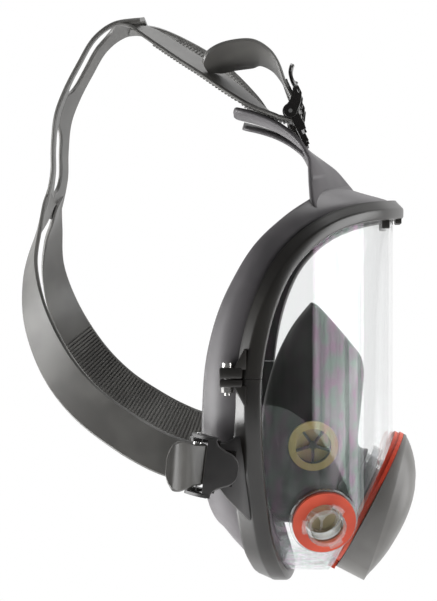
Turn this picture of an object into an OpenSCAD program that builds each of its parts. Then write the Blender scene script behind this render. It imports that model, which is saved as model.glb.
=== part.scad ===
// Full face respirator: facepiece, wide visor, nose cup, valves, filter ports and head harness.
// Frame: +X points forward out of the visor, +Y to the wearer's left, +Z up.
// The origin is the centre of the face opening, on the axis of the visor's cylinder.
// Parts on the wearer's right (-Y) are drawn directly and mirrored for the left.

/* [Visor] */
// Outer radius of the visor's cylinder
visor_r = 80; // [78:1:82]
// Thickness of the polycarbonate
visor_t = 2.2; // [1.8:0.1:2.6]
/* [Lens frame] */
// Thickness of the clamping frame, measured out from the visor
frame_t = 5.4; // [4.5:0.1:6]
// Width of the frame at the sides
frame_side_w = 11.2; // [10:0.2:12]
// Width of the frame over the forehead
frame_top_w = 8.6; // [8:0.2:10]
/* [Filter ports] */
// Inner radius of the bayonet tube
port_bore_r = 8; // [7.6:0.1:8.2]
// Outer radius of the bayonet tube
port_tube_r = 9.8; // [9.6:0.1:10]
// Height of the tube above the cheek
port_h = 9.5; // [8.5:0.5:10.5]
// Outer radius of the sealing gasket
port_gasket_r = 15.8; // [15:0.1:16]
/* [Outlet] */
// Radius of the outlet tube through the visor
outlet_r = 20; // [19:0.5:20]
// Length of the outlet cover, top to bottom
cover_len = 78; // [74:1:80]
// Depth of the outlet cover
cover_depth = 17; // [15:0.5:18]
/* [Straps] */
// Width of each strap
strap_w = 20; // [18:0.5:20]
// Thickness of each strap without its teeth
strap_t = 2; // [1.6:0.1:2.2]
// Width of the pad at a strap's free end
pad_w = 24; // [22:1:26]
// Width of the crown of the harness
crown_w = 48; // [44:1:50]
/* [Buckles] */
// Radius of the steel roller
roller_r = 2.4; // [2.2:0.1:2.4]
// Radius of the roller pin
pin_r = 1; // [0.9:0.05:1.1]

/* [Hidden] */
$fn = 64;

// Planes that bound the visor below its cylinder: outward normal and distance from the origin.
cheek_n = [0.2, -0.935, -0.293];
cheek_d = 83.2;
outlet_n = [0.892, 0, -0.453];
outlet_d = 91.5;
chin_r = 40;
chin_y = 22;
chin_z = -71;
flare = 20.8;
// Places on those planes: the ports, and the middle of the outlet.
port_x = 44.3;
port_z = -81.5;
outlet_c = [64.6, 0, -74.8];

// Buckle places: centre of each roller, and how far each buckle is pitched.
upper_o = [28, -39.5, 120.5];
upper_pitch = 64;
lower_o = [-17, -80.5, -51];
lower_pitch = 7.5;
running_gap = 0.05;
wrap_r = roller_r + 0.3 + strap_t / 2;

charcoal = [0.36, 0.35, 0.34];
rubber_grey = [0.42, 0.41, 0.42];
black = [0.12, 0.12, 0.12];
steel = [0.75, 0.75, 0.76];
orange = [0.85, 0.28, 0.15];
olive = [0.6, 0.55, 0.3];
clear = [0.85, 0.9, 0.92, 0.4];

// ---------- small helpers ----------
function unit(v) = v / norm(v);
function mix(a, b, t) = a * (1 - t) + b * t;
function ease(t) = let (c = min(1, max(0, t))) c * c * (3 - 2 * c);
function flip_y(p) = [p[0], -p[1], p[2]];
function reversed(list) = [for (i = [len(list) - 1:-1:0]) list[i]];
function toward(p, target, d) = p + unit(target - p) * d;
function centre(ring) = [for (k = [0:2]) (max([for (p = ring) p[k]]) + min([for (p = ring) p[k]])) / 2];
// Catmull-Rom curve through a list of points
function catmull(a, b, c, d, t) =
  0.5 * (2 * b + (c - a) * t + (2 * a - 5 * b + 4 * c - d) * t * t + (3 * b - a - 3 * c + d) * t * t * t);
function open_curve(p, n) = let (last = len(p) - 1) [
  for (i = [0:last - 1]) for (j = [0:n - 1])
    catmull(p[max(i - 1, 0)], p[i], p[i + 1], p[min(i + 2, last)], j / n),
  p[last]
];
function closed_curve(p, n) = let (c = len(p)) [
  for (i = [0:c - 1]) for (j = [0:n - 1])
    catmull(p[(i + c - 1) % c], p[i], p[(i + 1) % c], p[(i + 2) % c], j / n)
];
// A whole ring from its right-hand half, which runs from top centre to bottom centre
function both_halves(half, n) =
  closed_curve(concat(half, [for (i = [len(half) - 2:-1:1]) flip_y(half[i])]), n);

// Solid skin over rings of equal length; a loop of rings closes on itself, others get end caps.
module skin(rings, loop = false) {
  m = len(rings[0]);
  c = len(rings);
  points = [for (r = rings) for (p = r) p];
  spans = loop ? c - 1 : c - 2;
  walls = [
    for (i = [0:spans]) for (j = [0:m - 1])
      let (a = i * m + j, b = i * m + (j + 1) % m, d = ((i + 1) % c) * m + j, e = ((i + 1) % c) * m + (j + 1) % m)
        each [[a, b, e], [a, e, d]]
  ];
  caps = loop ? [] : [[for (j = [m - 1:-1:0]) j], [for (j = [0:m - 1]) (c - 1) * m + j]];
  polyhedron(points = points, faces = concat(walls, caps), convexity = 10);
}
// Flat band along dense paths of its two edges.
module edge_band(a, b, t) {
  last = len(a) - 1;
  skin([for (i = [0:last]) let (
    along = unit(mix(a[min(i + 1, last)], b[min(i + 1, last)], 0.5) - mix(a[max(i - 1, 0)], b[max(i - 1, 0)], 0.5)),
    n = unit(cross(along, b[i] - a[i])) * t / 2
  ) [a[i] + n, b[i] + n, b[i] - n, a[i] - n]]);
}
// Band along a path [point, normal, width]
module band(path, t) edge_band(
  [for (i = [0:len(path) - 1]) path[i][0] - band_side(path, i) * path[i][2] / 2],
  [for (i = [0:len(path) - 1]) path[i][0] + band_side(path, i) * path[i][2] / 2], t
);
function band_side(path, i) = let (
  a = path[max(i - 1, 0)][0], b = path[min(i + 1, len(path) - 1)][0]
) unit(cross(b - a, path[i][1]));

module both_sides() {
  children();
  mirror([0, 1, 0]) children();
}
module on_side(side) {
  if (side == "right") children();
  else mirror([0, 1, 0]) children();
}
// Turns +Z to the direction n, at the point c.
module aim(c, n) translate(c) rotate([0, acos(n[2] / norm(n)), atan2(n[1], n[0])]) children();
module half_space(n, d) aim([0, 0, 0], n) translate([-300, -300, d - 600]) cube([600, 600, 600]);
module ring(outer, inner, z0, z1) translate([0, 0, z0]) difference() {
  cylinder(r = outer, h = z1 - z0);
  translate([0, 0, -1]) cylinder(r = inner, h = z1 - z0 + 2);
}
module disc(r, z0, z1) translate([0, 0, z0]) cylinder(r = r, h = z1 - z0);
module spokes(count, r, width, z0, z1) for (k = [0:count - 1]) rotate([0, 0, k * 360 / count])
  translate([0, -width / 2, z0]) cube([r, width, z1 - z0]);

// ---------- the visor's body, grown by k ----------
module chin_outline(k) {
  r = chin_r + k;
  edge = [chin_y + r * cos(flare), chin_z - r * sin(flare)];
  rise = 100 - edge[1];
  for (s = [-1, 1]) translate([s * chin_y, chin_z]) circle(r = r, $fn = 96);
  translate([-chin_y, chin_z - r]) square([2 * chin_y, r]);
  polygon([[-edge[0], edge[1]], edge, [edge[0] + rise * tan(flare), 100], [-edge[0] - rise * tan(flare), 100]]);
}
module visor_body(k) intersection() {
  cylinder(r = visor_r + k, h = 300, center = true, $fn = 128);
  half_space(cheek_n, cheek_d + k);
  mirror([0, 1, 0]) half_space(cheek_n, cheek_d + k);
  half_space(outlet_n, outlet_d + k);
  translate([-20, 0, 0]) rotate([90, 0, 90]) linear_extrude(height = 140) chin_outline(k);
}

// ---------- the loop that the frame follows, on the visor's surface ----------
function on_cylinder(angle, z) = [visor_r * cos(angle), -visor_r * sin(angle), z];
function on_cheek(x, z) = [x, (cheek_d - cheek_n[0] * x - cheek_n[2] * z) / cheek_n[1], z];
function on_chin(angle, x) = [x, -chin_y - chin_r * cos(angle), chin_z - chin_r * sin(angle)];
port_c = on_cheek(port_x, port_z);
half_loop = [
  on_cylinder(0, 72.7), on_cylinder(24, 71.4), on_cylinder(40, 69.4), on_cylinder(53, 64.7),
  on_cylinder(63.5, 56.2), on_cylinder(71.8, 43.6), on_cylinder(77.6, 27), on_cylinder(81.3, 8.5),
  on_cylinder(83.2, -12), on_cheek(9.6, -32), on_cheek(10, -50), on_cheek(11.3, -67),
  on_chin(28, 14.2), on_chin(52, 18), on_chin(76, 21.5), [23.5, 0, chin_z - chin_r]
];
loop_path = both_halves(half_loop, 4);
loop_count = len(loop_path);
half_count = loop_count / 2;
// Directions at each place on the loop: along it, out of the visor, and inward across the frame.
function loop_t(i) = unit(loop_path[(i + 1) % loop_count] - loop_path[(i + loop_count - 1) % loop_count]);
function loop_out(i) = let (
  p = loop_path[i], t = loop_t(i), radial = unit([p[0], p[1], 0]), fixed = unit(cross(t, [1, 0, 0])),
  o = mix(radial, fixed, ease((20 - p[2]) / 60))
) unit(o - (o * t) * t);
function loop_at(i, k, m) = loop_path[i] + loop_out(i) * k + cross(loop_out(i), loop_t(i)) * m;
function frame_w(i) = mix(frame_top_w, frame_side_w, ease((68 - loop_path[i][2]) / 70));

// ---------- visor ----------
module visor_lens() color(clear) difference() {
  visor_body(0);
  visor_body(-visor_t);
  rotate([90, 0, 0]) linear_extrude(height = 260, center = true) polygon(concat(
    [[200, 72.7], [200, 300], [-200, 300], [-200, -300], [200, -300], [200, chin_z - chin_r]],
    reversed([for (i = [0:half_count]) [loop_path[i][0], loop_path[i][2]]])
  ));
  both_sides() aim(port_c, cheek_n) disc(port_tube_r + 0.2, -10, 5);
  aim(outlet_c, outlet_n) disc(outlet_r + 0.2, -10, 5);
}

// ---------- lens frame: two halves, screwed together at the temples ----------
split_z = -10;
split_gap = 0.15;
boss_x = [-5, 6];
boss_y = [-86.5, -79.3];
boss_top = -4.5;
boss_low = -14;
screw_c = [-1.2, -83, 0];
first_low = [for (i = [0:half_count]) if (loop_path[i][2] < split_z) i][0];
// The frame's section: a flat band with a bevelled rear shoulder.
function frame_ring(i) = let (h = frame_w(i) / 2) [
  loop_at(i, 0, h), loop_at(i, 0, -h), loop_at(i, frame_t - 1.8, -h), loop_at(i, frame_t, -h + 2),
  loop_at(i, frame_t, h - 1), loop_at(i, frame_t - 1, h)
];
module frame_boss(z0, z1) translate([boss_x[0], boss_y[0], z0])
  cube([boss_x[1] - boss_x[0], boss_y[1] - boss_y[0], z1 - z0]);
module frame_half(ids, z0, z1, cut) color(charcoal) difference() {
  union() {
    skin([for (i = ids) frame_ring(i)]);
    both_sides() frame_boss(z0, z1);
  }
  visor_body(0.2);
  translate([-50, -150, cut]) cube([200, 300, 60]);
  both_sides() translate(screw_c) cylinder(r = 1.6, h = 60, center = true, $fn = 32);
}
module upper_lens_frame() frame_half(
  concat([for (i = [loop_count - first_low:loop_count - 1]) i], [for (i = [0:first_low]) i]),
  split_z + split_gap, boss_top, split_z + split_gap - 60
);
module lower_lens_frame() frame_half(
  [for (i = [first_low - 2:loop_count - first_low + 2]) i],
  boss_low, split_z - split_gap, split_z - split_gap
);
module frame_screws() color(steel) both_sides() translate(screw_c) {
  disc(1.5, boss_low - 4, boss_top);
  disc(2.7, boss_top, boss_top + 2.2);
}
module frame_nuts() color(steel) both_sides() translate(screw_c) difference() {
  translate([0, 0, boss_low - 2.6]) cylinder(r = 3, h = 2.6, $fn = 6);
  disc(1.5, boss_low - 3, boss_low + 1);
}

// ---------- face seal: a skirt behind the frame, turned in at its rear edge ----------
// Rear edge of the skirt, from top centre to bottom centre
half_rear = [
  [52, 0, 84], [50, -24, 83.5], [44, -45, 81.5], [35.5, -60, 76],
  [24.5, -69, 68], [11, -73.5, 55], [1, -74.5, 39], [-7, -74, 21],
  [-12.5, -72.5, -1], [-14.5, -70.5, -24], [-15, -66, -46], [-14.5, -57.5, -65],
  [-11, -46, -81], [-4, -33, -90.5], [3, -18, -96.5], [8, 0, -99.5]
];
rear_path = both_halves(half_rear, 4);
face_c = [0, 0, -8];
seal_t = 2.2;
turn_in = 15;
function seal_ring(i) = let (
  h = frame_w(i) / 2,
  b = loop_at(i, -0.3, -h - 0.6), b2 = loop_at(i, -0.3 - seal_t, -h - 0.6),
  r = rear_path[i], inward = unit([0, face_c[1] - r[1], face_c[2] - r[2]]),
  bulge = loop_out(i) * 2.4, m = mix(b, r, 0.5) + bulge, m2 = mix(b2, r, 0.5) + bulge * 0.5 + inward
) [
  loop_at(i, -0.3, -0.8), b, m, r + [2.5, 0, 0] - inward * 1, r,
  r + inward * 2.5 + [-0.6, 0, 0], r + inward * turn_in + [6, 0, 0],
  r + inward * turn_in + [7.6, 0, 0], r + inward * 3.4 + [3, 0, 0], m2, b2, loop_at(i, -0.3 - seal_t, -0.8)
];
// Tabs that carry the buckles, as key points along their two edges
upper_tab_a = [[64, -11, 75.5], [56, -13, 84], [50, -21, 92], [41, -28, 98], [34, -30, 103.5], [27, -30.5, 109.5],
  [19, -30.5, 114], [8, -31, 117], [0, -34, 119]];
upper_tab_b = [[42, -66, 70], [38, -61, 80], [37.5, -55, 90], [36.5, -50, 97.5], [33, -49, 104], [27, -48.5, 110.5],
  [19, -48.5, 116.3], [8, -48, 120.3], [0, -45, 122]];
lower_tab_a = [[9, -77.5, -33], [3, -78.5, -37], [-3, -78.4, -40.5], [-8.5, -78.2, -41.5]];
lower_tab_b = [[13, -64, -82], [4, -71.5, -75], [-3, -76.5, -66.5], [-8.5, -78.2, -61.5]];
module face_seal() color(rubber_grey) {
  skin([for (i = [loop_count - 1:-1:0]) seal_ring(i)], loop = true);
  both_sides() {
    edge_band(open_curve(upper_tab_a, 3), open_curve(upper_tab_b, 3), 2.6);
    edge_band(open_curve(lower_tab_a, 3), open_curve(lower_tab_b, 3), 3);
  }
}

// ---------- nose cup ----------
cup_front = 21.9;
function cup_collar(d, r) = [for (a = [0:30:180])
  outlet_c + outlet_n * d + [0.453, 0, 0.892] * (r * cos(a)) + [0, -r * sin(a), 0]];
cup_halves = [
  [[36.8, 0, 24.7], [27, -13, 12], [18.5, -25, -6], [13, -35, -30], [12, -37, -55], [16, -26, -78], [21, 0, -88]],
  [[43.5, 0, 21.5], [33, -16, 8], [27, -28, -8], [24, -37.5, -30], [23, -39, -55], [26, -28, -80], [29, 0, -91]],
  [[57, 0, 6], [47, -18, -6], [42, -29, -20], [40, -35, -38], [38, -36.5, -60], [40, -27, -84], [42, 0, -94]],
  [[65, 0, -7], [58, -15, -18], [55, -24, -32], [52, -28.5, -47], [49, -29.5, -66], [48, -22, -84], [48, 0, -92]],
  [[63.5, 0, -31], [60, -14, -36], [57.5, -22, -47], [54, -25.5, -60], [51, -25, -72], [49, -17, -84], [49, 0, -89]],
  cup_collar(-14, cup_front),
  cup_collar(-8, cup_front)
];
cup_rings = [for (h = cup_halves) both_halves(h, 4)];
cup_inner = [for (r = cup_rings) let (c = centre(r)) [for (p = r) toward(p, c, 1.8)]];
cup_valve_c = [39, -35.6, -46.5];
cup_valve_n = [0.1, -0.985, -0.1];
module nose_cup() color(black) difference() {
  skin(concat(cup_inner, reversed(cup_rings)), loop = true);
  both_sides() aim(cup_valve_c, cup_valve_n) disc(11, -12, 8);
}
module cup_valve_seat(side) color(olive) on_side(side) aim(cup_valve_c, cup_valve_n) {
  ring(11, 9, -3, 1);
  ring(12.6, 9, 0, 1.8);
  disc(2, -2, 0);
  spokes(5, 9.5, 1.3, -2, 0);
}
module cup_valve_flap(side) color(olive) on_side(side) aim(cup_valve_c, cup_valve_n) disc(10.6, -4.1, -3.3);

// ---------- filter ports ----------
lug_r = 12.2;
port_flange = 1.6;
gasket_t = 1.8;
module filter_port(side) color(clear) on_side(side) aim(port_c, cheek_n) {
  ring(port_tube_r, port_bore_r, -3, port_h);
  ring(port_tube_r, port_bore_r - 1, -4.5, -3);
  ring(17, port_bore_r, 0.05, port_flange);
  intersection() {
    ring(lug_r, port_bore_r, port_h - 3.2, port_h - 1.4);
    for (k = [0:2]) rotate([0, 0, 150 + k * 120]) translate([0, -3.5, 0]) cube([20, 7, 20]);
  }
  disc(1.6, -4.5, -3);
  spokes(3, port_bore_r - 0.5, 1.2, -4.5, -3);
}
module port_gasket(side) color(orange) on_side(side) aim(port_c, cheek_n)
  ring(port_gasket_r, port_tube_r + 0.1, port_flange, port_flange + gasket_t);
module port_valve_flap(side) color(olive) on_side(side) aim(port_c, cheek_n) disc(9.2, -5.6, -4.8);

// ---------- outlet: body through the visor, gasket, lock ring, valve and cover ----------
outlet_low = 39;
outlet_gasket_t = 2.6;
outlet_plate = 1.9;
cover_gap = 0.35;
// Outline in the outlet's plane: +X runs down the visor.
big_r = 27;
small_r = 23;
big_x = -11;
small_x = 15;
module outlet_outline(k) polygon(concat(
  [for (a = [80:8:280]) [big_x + (big_r + k) * cos(a), (big_r + k) * sin(a)]],
  [for (a = [-80:8:80]) [small_x + (small_r + k) * cos(a), (small_r + k) * sin(a)]]
));
module outlet_body() color(clear) aim(outlet_c, outlet_n) {
  ring(outlet_r, 17, -15, outlet_gasket_t + 0.1);
  difference() {
    translate([0, 0, outlet_gasket_t + 0.1]) linear_extrude(height = outlet_plate) outlet_outline(-0.5);
    disc(13.5, 0, 10);
  }
  disc(2.2, outlet_gasket_t + 0.1, outlet_gasket_t + 1.6);
  spokes(4, 14, 1.4, outlet_gasket_t + 0.1, outlet_gasket_t + 1.6);
  translate([outlet_low - 2.1, -4, 0.6]) cube([5, 8, 4]);
}
module outlet_gasket() color(orange) aim(outlet_c, outlet_n) difference() {
  translate([0, 0, 0.1]) linear_extrude(height = outlet_gasket_t) outlet_outline(-1.4);
  disc(outlet_r + 0.1, -1, 5);
}
module outlet_lock_ring() color(clear) aim(outlet_c, outlet_n) {
  ring(25, outlet_r + 0.1, -6.3, -2.4);
}
flap_z = outlet_gasket_t + outlet_plate + 0.4;
module exhale_valve_flap() color(orange) aim(outlet_c, outlet_n) disc(15.5, flap_z, flap_z + 0.9);

// The cover is a wedge, shallow at the top, with a domed face: levels are [scale, share of the dome].
cover_z = outlet_gasket_t + outlet_plate + cover_gap;
cover_levels = [[1, 0], [0.94, 0.42], [0.84, 0.68], [0.68, 0.86], [0.46, 0.96], [0.2, 1]];
cover_c = cover_len / 2 * 0.04;
function cover_edge(a) = let (
  x = cover_len / 2 * cos(a), w = 28 * (1 - 0.08 * cos(a) - 0.1 * pow(cos(a), 2))
) [cover_c + x, w * sin(a)];
function crease(x) = max(1, min(16, cover_depth / 2 + 0.19 * x));
function dome(x) = let (u = (x - 10) / 52) cover_depth + 3.6 - 17 * pow(abs(u), 2.6);
function cover_ring(f, share, inset, drop) = [for (a = [360:-11.25:1]) let (
  e = cover_edge(a), x = cover_c + (e[0] - cover_c) * f * inset, y = e[1] * f * inset
) [x, y, mix(crease(x), max(dome(x), crease(x)), share) - drop]];
function flat_ring(inset, z) = [for (a = [360:-11.25:1]) let (e = cover_edge(a))
  [cover_c + (e[0] - cover_c) * inset, e[1] * inset, z]];
module cover_shell() color(charcoal) aim(outlet_c, outlet_n) translate([0, 0, cover_z]) difference() {
  skin(concat([flat_ring(1, 0)], [for (l = cover_levels) cover_ring(l[0], l[1], 1, 0)]));
  skin(concat([flat_ring(0.92, -1)], [for (l = cover_levels) cover_ring(l[0], l[1], 0.92, 2.4)]));
}
module cover_barrel() color(charcoal) aim(outlet_c, outlet_n)
  translate([-37.6, 0, cover_z + 1.2]) rotate([90, 0, 0]) cylinder(r = 1.1, h = 20, center = true);

module outlet_cover() {
  cover_shell();
  cover_barrel();
}

// ---------- buckles: x runs to the facepiece, y along the roller, z away from the head ----------
module at_buckle(place, side) on_side(side) {
  if (place == "upper") translate(upper_o) rotate([0, upper_pitch, 0]) children();
  else translate(lower_o) rotate([0, lower_pitch, 0]) rotate([90, 0, 0]) children();
}
module along_y(r, y0, y1) translate([0, y1, 0]) rotate([90, 0, 0]) cylinder(r = r, h = y1 - y0, $fn = 48);
cheek_y = [11, 12.6];
ear_y = [13, 14.6];
plate_end = 19;
module each_end() {
  children();
  mirror([0, 1, 0]) children();
}
module buckle_base(place, side) color(black) at_buckle(place, side) difference() {
  union() {
    each_end() {
      along_y(4, cheek_y[0], cheek_y[1]);
      translate([0, cheek_y[0], -1.2]) cube([11, cheek_y[1] - cheek_y[0], 4.4]);
    }
    translate([8, -cheek_y[1], -1.2]) cube([3, 2 * cheek_y[1], 3.2]);
    translate([8, -8.5, -1.2]) cube([plate_end - 8, 17, 1.8]);
  }
  along_y(pin_r, -20, 20);
}
module buckle_pin(place, side) color(steel) at_buckle(place, side) along_y(pin_r, -15, 15);
module buckle_roller(place, side) color(steel) at_buckle(place, side) difference() {
  along_y(roller_r, -10.6, 10.6);
  along_y(pin_r + running_gap, -20, 20);
}
lever_z = 6.8;
lever_t = 2;
module lever_plate() {
  translate([-9.5, -ear_y[1], lever_z]) cube([3.4, 2 * ear_y[1], lever_t]);
  translate([-14, -7, lever_z]) cube([6.5, 14, lever_t]);
  translate([-14, 0, lever_z]) cylinder(r = 7, h = lever_t);
}
// The upper levers reach back over the strap's tail, the lower ones forward over the tab.
module buckle_lever(place, side) color(black) at_buckle(place, side) difference() {
  mirror([place == "lower" ? 1 : 0, 0, 0]) {
    each_end() {
      along_y(3.4, ear_y[0], ear_y[1]);
      translate([-9.5, ear_y[0], 0]) cube([9.5, ear_y[1] - ear_y[0], lever_z + lever_t]);
    }
    lever_plate();
  }
  along_y(pin_r + running_gap, -20, 20);
}

// ---------- harness: crown with two slots, and four straps, moulded in one ----------
crown_keys = [[-50, 170.3], [-63.3, 168.5], [-74, 160.7], [-82, 147.6], [-88.9, 134.5], [-93.7, 121.3],
  [-95.3, 105.5], [-95.6, 92.3], [-98.1, 79.1], [-101, 69]];
crown_curve = open_curve([for (k = crown_keys) [k[0], 0, k[1]]], 4);
slot_w = 21;
module crown_slot(c, tilt, length) translate(c) rotate([0, tilt, 0]) linear_extrude(height = 40, center = true) {
  square([length - slot_w, slot_w], center = true);
  for (s = [-1, 1]) translate([s * (length - slot_w) / 2, 0]) circle(r = slot_w / 2, $fn = 32);
}
// The crown is domed across: its middle stands out from its edges, most at the top.
crown_rise = 4;
function crown_mid(i) = let (
  last = len(crown_curve) - 1, t = unit(crown_curve[min(i + 1, last)] - crown_curve[max(i - 1, 0)])
) crown_curve[i] + cross(t, [0, 1, 0]) * -crown_rise * (1 - 0.6 * i / last);
module crown() difference() {
  both_sides() edge_band(
    [for (p = crown_curve) p - [0, crown_w / 2, 0]], [for (i = [0:len(crown_curve) - 1]) crown_mid(i)], strap_t
  );
  crown_slot([-79, 0, 152], -57, 40);
  crown_slot([-96, 0, 100], -88, 36);
}
// Straps as [point, smooth-side normal, width]; wraps are drawn in the buckle's own x and z.
function wrap(o, ax, az, a0, a1, side_w) = [for (k = [0:8]) let (
  a = mix(a0, a1, k / 8), out = ax * cos(a) + az * sin(a)
) [o + out * wrap_r, -out, side_w]];
function dense(keys, n) = let (
  p = open_curve([for (k = keys) k[0]], n), q = open_curve([for (k = keys) k[1]], n),
  w = open_curve([for (k = keys) k[2]], n)
) [for (i = [0:len(p) - 1]) [p[i], q[i], w[i]]];
// The right upper strap's free end is twisted, as it falls.
up = [-0.3, 0, 0.95];
upper_run = [
  [[-60, -13.5, 169.6], up, strap_w], [[-50, -15.5, 167], up, strap_w], [[-33.4, -22, 156], up, strap_w],
  [[-15, -30, 143.3], up, strap_w], [[1.4, -36, 131], up, strap_w], [[13, -38.8, 122.8], up, strap_w],
  [[23, -39.5, 118], up, strap_w]
];
tail = [0.9, 0, 0.44];
upper_tail = [
  [[28, -39.5, 128.9], -tail, strap_w], [[24.9, -39.5, 135.2], -tail, strap_w],
  [[20.4, -39.5, 143.6], [-0.8, -0.15, -0.5], strap_w], [[14.5, -39.5, 149], [-0.3, -0.35, -0.9], strap_w],
  [[8, -39.5, 150.5], [0, -0.5, -0.87], pad_w], [[-2, -39.5, 149.5], [0, -0.5, -0.87], pad_w],
  [[-10, -39.5, 147], [0.2, -0.45, -0.87], pad_w], [[-15, -39.5, 144.5], [0.3, -0.4, -0.87], pad_w * 0.6]
];
// The left upper strap is drawn slacker, so it stands higher between its two ends and isn't twisted.
slack = 8.5;
function slackened(keys, share) = [for (i = [0:len(keys) - 1]) let (k = keys[i])
  [k[0] + [0, 0, slack * share[i]], [k[1][0], 0, k[1][2]], k[2]]];
run_share = [0, 0.3, 0.8, 1, 0.7, 0.2, 0];
tail_share = [0, 0.1, 0.5, 1, 1, 1, 1, 1];
lower_run = [
  [[-97.6, -13.6, 80], [-1, 0, 0], strap_w], [[-100, -16.5, 73], [-1, -0.1, 0], strap_w],
  [[-103, -24, 61], [-0.95, -0.3, 0.1], strap_w], [[-105, -35, 41], [-0.85, -0.5, 0], strap_w],
  [[-100, -47, 18], [-0.65, -0.75, 0], strap_w], [[-88, -58, -5], [-0.4, -0.9, 0], strap_w],
  [[-72, -66, -23], [-0.2, -0.97, 0], strap_w], [[-52, -72, -37], [0, -1, 0], strap_w],
  [[-36, -75.6, -45.5], [0, -1, 0], strap_w], [[-24, -76.8, -49.8], [0, -1, 0], strap_w]
];
lower_tail = [
  [[-17.3, -86.5, -51], [-0.8, 0.6, 0], strap_w], [[-20.8, -91.9, -50.7], [-0.85, 0.5, 0], pad_w],
  [[-23, -97.5, -50.4], [-0.85, 0.5, 0], pad_w], [[-25.5, -101.2, -50], [-0.5, 0.87, 0], pad_w],
  [[-28.5, -102, -49.6], [-0.2, 0.98, 0], pad_w * 0.6]
];
module upper_strap(run, free_end) band(concat(
  dense(run, 3), wrap(upper_o, [1, 0, 0], [0, 0, 1], -106, 26, strap_w), dense(free_end, 3)
), strap_t);
module lower_strap() band(concat(
  dense(lower_run, 3),
  wrap(lower_o, [cos(lower_pitch), 0, -sin(lower_pitch)], [0, -1, 0], -90, 37, strap_w), dense(lower_tail, 3)
), strap_t);
module head_harness() color(rubber_grey) {
  crown();
  upper_strap(upper_run, upper_tail);
  mirror([0, 1, 0]) upper_strap(slackened(upper_run, run_share), slackened(upper_tail, tail_share));
  both_sides() lower_strap();
}

face_seal();
visor_lens();
upper_lens_frame();
lower_lens_frame();
frame_screws();
frame_nuts();
nose_cup();
cup_valve_seat("right");  // cup_valve_seat_right
cup_valve_seat("left");  // cup_valve_seat_left
cup_valve_flap("right");  // cup_valve_flap_right
cup_valve_flap("left");  // cup_valve_flap_left
filter_port("right");  // filter_port_right
filter_port("left");  // filter_port_left
port_gasket("right");  // port_gasket_right
port_gasket("left");  // port_gasket_left
port_valve_flap("right");  // port_valve_flap_right
port_valve_flap("left");  // port_valve_flap_left
outlet_body();
outlet_gasket();
outlet_lock_ring();
exhale_valve_flap();
outlet_cover();
head_harness();
buckle_base("upper", "right");  // upper_buckle_base_right
buckle_base("upper", "left");  // upper_buckle_base_left
buckle_base("lower", "right");  // lower_buckle_base_right
buckle_base("lower", "left");  // lower_buckle_base_left
buckle_lever("upper", "right");  // upper_buckle_lever_right
buckle_lever("upper", "left");  // upper_buckle_lever_left
buckle_lever("lower", "right");  // lower_buckle_lever_right
buckle_lever("lower", "left");  // lower_buckle_lever_left
buckle_roller("upper", "right");  // upper_buckle_roller_right
buckle_roller("upper", "left");  // upper_buckle_roller_left
buckle_roller("lower", "right");  // lower_buckle_roller_right
buckle_roller("lower", "left");  // lower_buckle_roller_left
buckle_pin("upper", "right");  // upper_buckle_pin_right
buckle_pin("upper", "left");  // upper_buckle_pin_left
buckle_pin("lower", "right");  // lower_buckle_pin_right
buckle_pin("lower", "left");  // lower_buckle_pin_left
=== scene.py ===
# %% [markdown]
# # A full face respirator
#
# The mask is one wide clear visor clamped into a grey rubber face seal by a
# two-part frame. A black nose cup sits inside, filter ports stand on the
# cheeks, and an outlet with a domed cover closes the front. A rubber harness
# reaches round the head and threads through four roller buckles.
#
# Most of these shapes are *lofts*: a few key sections joined by skin. So the
# lesson is mainly about choosing good sections and letting operators do the
# rest.

import math

import bmesh
import bpy
from mathutils import Matrix, Vector


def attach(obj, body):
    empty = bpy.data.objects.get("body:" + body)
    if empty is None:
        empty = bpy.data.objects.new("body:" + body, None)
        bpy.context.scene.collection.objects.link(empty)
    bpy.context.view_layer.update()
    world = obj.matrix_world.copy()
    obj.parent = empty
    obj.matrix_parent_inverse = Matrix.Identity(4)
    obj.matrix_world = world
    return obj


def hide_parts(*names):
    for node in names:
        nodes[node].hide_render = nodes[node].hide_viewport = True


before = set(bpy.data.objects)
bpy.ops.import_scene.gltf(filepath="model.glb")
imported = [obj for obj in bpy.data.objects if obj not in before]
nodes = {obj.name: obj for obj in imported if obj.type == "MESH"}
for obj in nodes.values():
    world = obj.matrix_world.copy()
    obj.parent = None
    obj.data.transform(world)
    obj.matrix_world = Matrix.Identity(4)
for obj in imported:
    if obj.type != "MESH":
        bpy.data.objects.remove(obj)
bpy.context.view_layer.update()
print("the fixed frame has", len(nodes), "nodes")

# %% [markdown]
# ## Curves and lofts
#
# All sizes below are in millimetres, as a drawing would give them, and every
# mesh is scaled to metres once, when it becomes an object. A Catmull-Rom
# curve passes through each of its key points, so a key point is a promise
# about where the surface will be.

# %% Curves through key points
MM = 0.001
X, Y, Z = Vector((1, 0, 0)), Vector((0, 1, 0)), Vector((0, 0, 1))
SIDES = {"right": 1, "left": -1}


def catmull(a, b, c, d, t):
    bend = (2 * a - 5 * b + 4 * c - d) * t * t + (3 * b - a - 3 * c + d) * t**3
    return (2 * b + (c - a) * t + bend) * 0.5


def curve(keys, steps, closed=False):
    """Points or numbers along a smooth curve through the keys."""
    count = len(keys)
    pick = (lambda i: keys[i % count]) if closed else (lambda i: keys[min(max(i, 0), count - 1)])
    spans = count if closed else count - 1
    out = [
        catmull(pick(i - 1), pick(i), pick(i + 1), pick(i + 2), j / steps)
        for i in range(spans)
        for j in range(steps)
    ]
    return out if closed else out + [keys[-1]]


def flip(p, side=-1):
    return Vector((p[0], p[1] * side, p[2]))


def vectors(keys, side=1):
    return [flip(k, side) for k in keys]


def both_halves(half):
    """A closed ring from its right-hand half, top centre to bottom centre."""
    half = vectors(half)
    return half + [flip(p) for p in reversed(half[1:-1])]


def mix(a, b, t):
    return a * (1 - t) + b * t


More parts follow.
